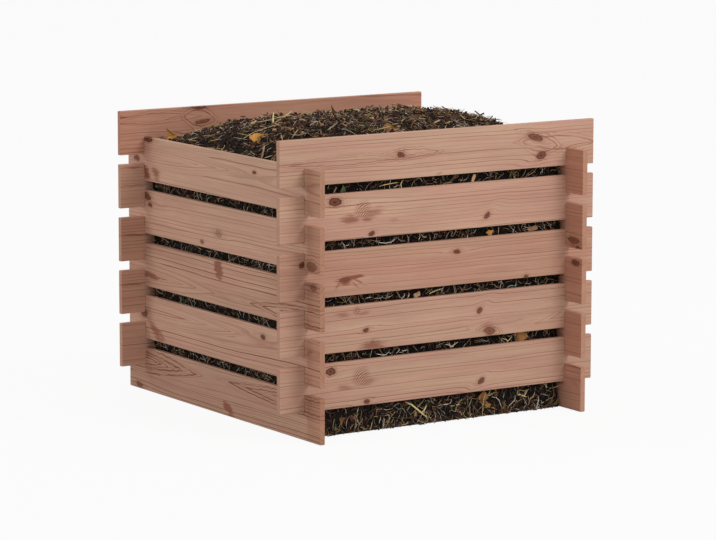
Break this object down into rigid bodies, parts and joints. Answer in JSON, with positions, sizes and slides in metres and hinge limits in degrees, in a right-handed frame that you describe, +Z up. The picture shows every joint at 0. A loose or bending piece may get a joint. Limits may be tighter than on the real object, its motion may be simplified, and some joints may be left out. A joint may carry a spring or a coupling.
{
  "type": "composter",
  "caption": "Square slatted timber composter of notched boards stacked log-cabin fashion, holding a heap of compost; the courses lift off upwards.",
  "frame": {"origin": "on the ground at the middle of the bin's plan", "axes": "+X along the front boards to the right, +Y from the front wall to the back wall, +Z up"},
  "size_m": [1, 1, 0.8085],
  "materials": {
    "timber": "planed softwood, unfinished",
    "compost": "rough, crumbly and matt"
  },
  "bodies": {
    "ground_course": {"left_board_1": "timber", "right_board_1": "timber", "compost_fill": "compost"},
    "course_2": {"front_board_1": "timber", "back_board_1": "timber"},
    "course_3": {"left_board_2": "timber", "right_board_2": "timber"},
    "course_4": {"front_board_2": "timber", "back_board_2": "timber"},
    "course_5": {"left_board_3": "timber", "right_board_3": "timber"},
    "course_6": {"front_board_3": "timber", "back_board_3": "timber"},
    "course_7": {"left_board_4": "timber", "right_board_4": "timber"},
    "course_8": {"front_board_4": "timber", "back_board_4": "timber"},
    "course_9": {"left_board_5": "timber", "right_board_5": "timber"},
    "top_front": {"front_board_5": "timber"},
    "top_back": {"back_board_5": "timber"}
  },
  "joints": [
    {"name": "course_2_lift", "type": "slide", "parent": "ground_course", "child": "course_2", "axis": [0, 0, 1], "range_m": [0, 0.1]},
    {"name": "course_3_lift", "type": "slide", "parent": "course_2", "child": "course_3", "axis": [0, 0, 1], "range_m": [0, 0.1]},
    {"name": "course_4_lift", "type": "slide", "parent": "course_3", "child": "course_4", "axis": [0, 0, 1], "range_m": [0, 0.1]},
    {"name": "course_5_lift", "type": "slide", "parent": "course_4", "child": "course_5", "axis": [0, 0, 1], "range_m": [0, 0.1]},
    {"name": "course_6_lift", "type": "slide", "parent": "course_5", "child": "course_6", "axis": [0, 0, 1], "range_m": [0, 0.1]},
    {"name": "course_7_lift", "type": "slide", "parent": "course_6", "child": "course_7", "axis": [0, 0, 1], "range_m": [0, 0.1]},
    {"name": "course_8_lift", "type": "slide", "parent": "course_7", "child": "course_8", "axis": [0, 0, 1], "range_m": [0, 0.1]},
    {"name": "course_9_lift", "type": "slide", "parent": "course_8", "child": "course_9", "axis": [0, 0, 1], "range_m": [0, 0.1]},
    {"name": "top_front_lift", "type": "slide", "parent": "course_9", "child": "top_front", "axis": [0, 0, 1], "range_m": [0, 0.1]},
    {"name": "top_back_lift", "type": "slide", "parent": "course_9", "child": "top_back", "axis": [0, 0, 1], "range_m": [0, 0.1]}
  ]
}
